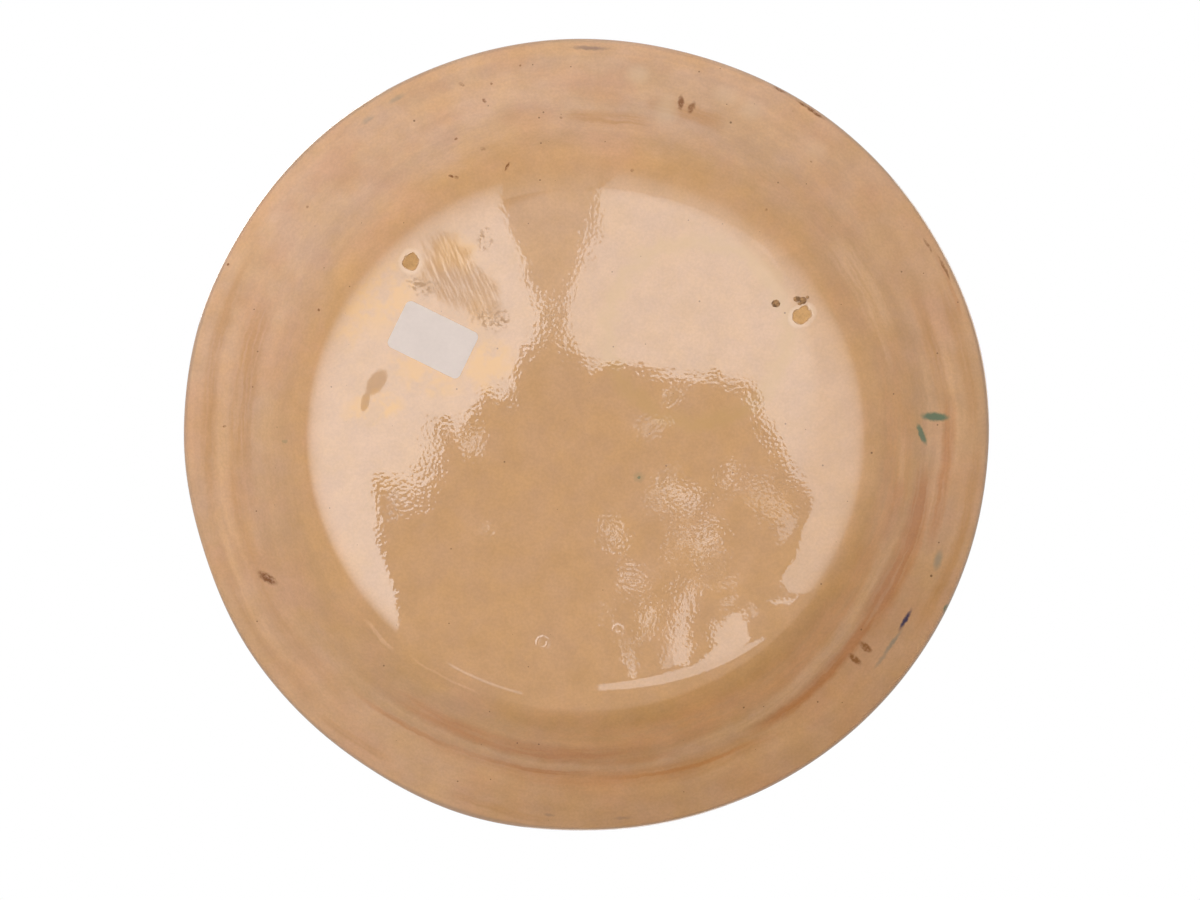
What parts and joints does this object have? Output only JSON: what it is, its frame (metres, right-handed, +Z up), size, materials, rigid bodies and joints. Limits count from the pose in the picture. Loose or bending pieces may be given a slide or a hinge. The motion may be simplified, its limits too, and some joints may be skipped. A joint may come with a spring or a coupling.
{
  "type": "ceramic plate",
  "caption": "Hand-thrown earthenware plate with a wide flange and a flat, slightly hollow base, glazed all over, with stilt scars and a blank paper label underneath.",
  "frame": {"origin": "centre of the plate on the surface that its base ring rests on", "axes": "+Z up out of the food side, +X along the long way of the slightly oval rim, +Y along the short way"},
  "size_m": [0.264, 0.26, 0.035],
  "materials": {
    "clay": "bare fired earthenware, matte",
    "face_glaze": "glossy honey glaze over buff clay",
    "back_glaze": "glossy honey glaze over buff clay",
    "label": "matte white paper"
  },
  "bodies": {
    "root": {"clay_body": "clay", "face_glaze": "face_glaze", "back_glaze": "back_glaze", "paper_label": "label"}
  },
  "joints": []
}
